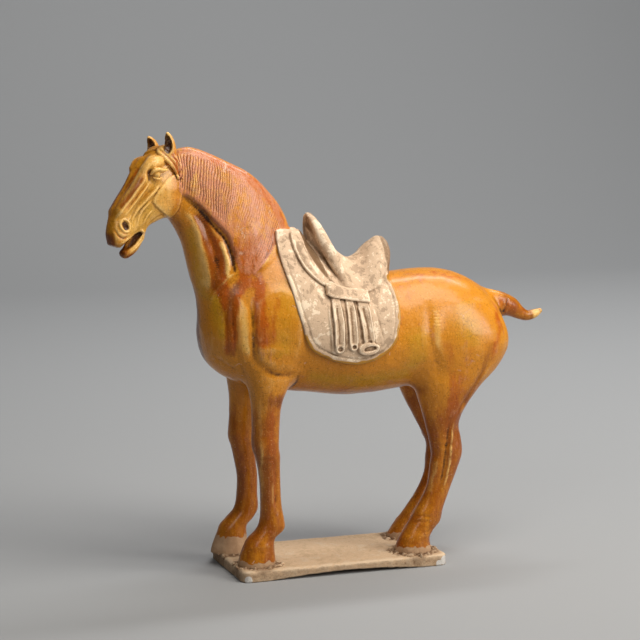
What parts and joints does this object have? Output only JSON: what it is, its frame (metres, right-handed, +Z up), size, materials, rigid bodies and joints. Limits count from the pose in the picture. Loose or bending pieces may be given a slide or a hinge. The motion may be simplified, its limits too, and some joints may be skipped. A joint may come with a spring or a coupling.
{
  "type": "glazed pottery horse figure",
  "caption": "Glazed pottery horse standing square on a slab plinth, head turned to its left, with a bare clay saddle, saddle cloth and hanging straps.",
  "frame": {"origin": "middle of the whole figure's box, on the underside of the plinth", "axes": "+Z up, the horse faces -X, its left side is towards -Y"},
  "size_m": [0.6416, 0.1732, 0.605],
  "materials": {
    "amber_glaze": "glossy amber lead glaze with darker runs and a fine crackle",
    "saddle_clay": "matt buff clay, unglazed, with pale slip worn off in patches",
    "plinth_clay": "matt buff clay, unglazed, scuffed and chipped at the corners"
  },
  "bodies": {
    "root": {"horse": "amber_glaze", "saddle": "saddle_clay", "plinth": "plinth_clay"}
  },
  "joints": []
}
